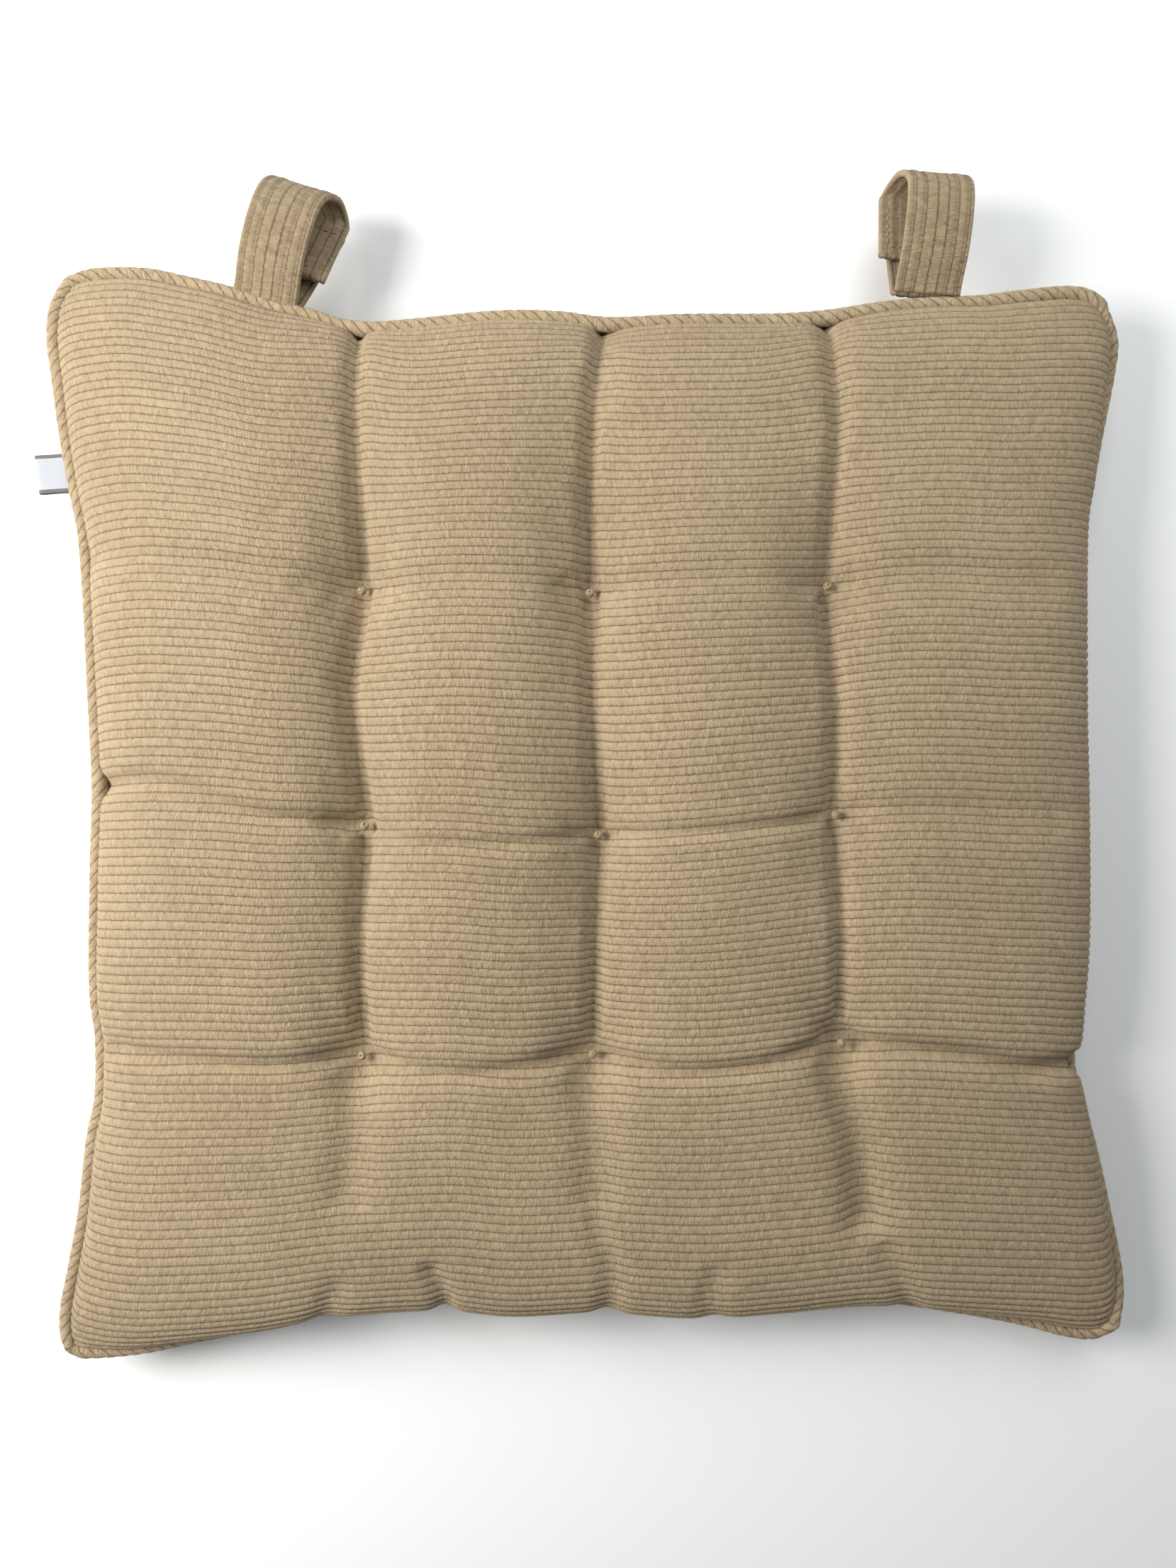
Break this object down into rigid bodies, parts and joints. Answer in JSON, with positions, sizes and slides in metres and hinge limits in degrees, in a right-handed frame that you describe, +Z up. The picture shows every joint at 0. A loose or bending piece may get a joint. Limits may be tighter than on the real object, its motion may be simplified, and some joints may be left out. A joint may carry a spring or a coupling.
{
  "type": "seat cushion",
  "caption": "Square tufted corduroy seat cushion with corded piping, fibre filling tied through by knotted threads, and hook-and-loop strap loops on its rear edge.",
  "frame": {"origin": "on the surface the cushion lies on, under the middle of the whole part's box", "axes": "+X along the ribs of the corduroy, +Y towards the rear edge with the straps, +Z up"},
  "size_m": [0.4132, 0.4524, 0.0573],
  "materials": {
    "corduroy": "ribbed pile",
    "cotton_cord": "twisted",
    "thread": "matt",
    "fibre": "loose",
    "label": "woven",
    "tape": "napped"
  },
  "bodies": {
    "cushion": {"cover_top": "corduroy", "cover_bottom": "corduroy", "piping_cover": "corduroy", "piping_cord": "cotton_cord", "seam_thread": "thread", "fibre_core": "fibre", "tuft_threads": "thread", "tuft_knots_top": "thread", "tuft_knots_bottom": "thread", "side_label": "label", "strap_left_sewn_end": "corduroy", "strap_right_sewn_end": "corduroy"},
    "strap_left_base": {"strap_left_tab": "corduroy", "strap_left_tab_tape": "tape", "strap_left_tab_stitching": "thread"},
    "strap_left_loop": {"strap_left_band": "corduroy", "strap_left_band_tape": "tape", "strap_left_band_stitching": "thread"},
    "strap_right_base": {"strap_right_tab": "corduroy", "strap_right_tab_tape": "tape", "strap_right_tab_stitching": "thread"},
    "strap_right_loop": {"strap_right_band": "corduroy", "strap_right_band_tape": "tape", "strap_right_band_stitching": "thread"}
  },
  "joints": [
    {"name": "strap_left_swing", "type": "hinge", "parent": "cushion", "child": "strap_left_base", "pos_m": [-0.1195, 0.173, 0.026], "axis": [0.9537, -0.3007, 0], "range_deg": [-70, 45]},
    {"name": "strap_left_release", "type": "hinge", "parent": "strap_left_base", "child": "strap_left_loop", "pos_m": [-0.1195, 0.173, 0.026], "axis": [0.9537, -0.3007, 0], "range_deg": [0, 35]},
    {"name": "strap_right_swing", "type": "hinge", "parent": "cushion", "child": "strap_right_base", "pos_m": [0.1285, 0.1751, 0.026], "axis": [0.9962, -0.0872, 0], "range_deg": [-70, 45]},
    {"name": "strap_right_release", "type": "hinge", "parent": "strap_right_base", "child": "strap_right_loop", "pos_m": [0.1285, 0.1751, 0.026], "axis": [0.9962, -0.0872, 0], "range_deg": [0, 35]}
  ]
}
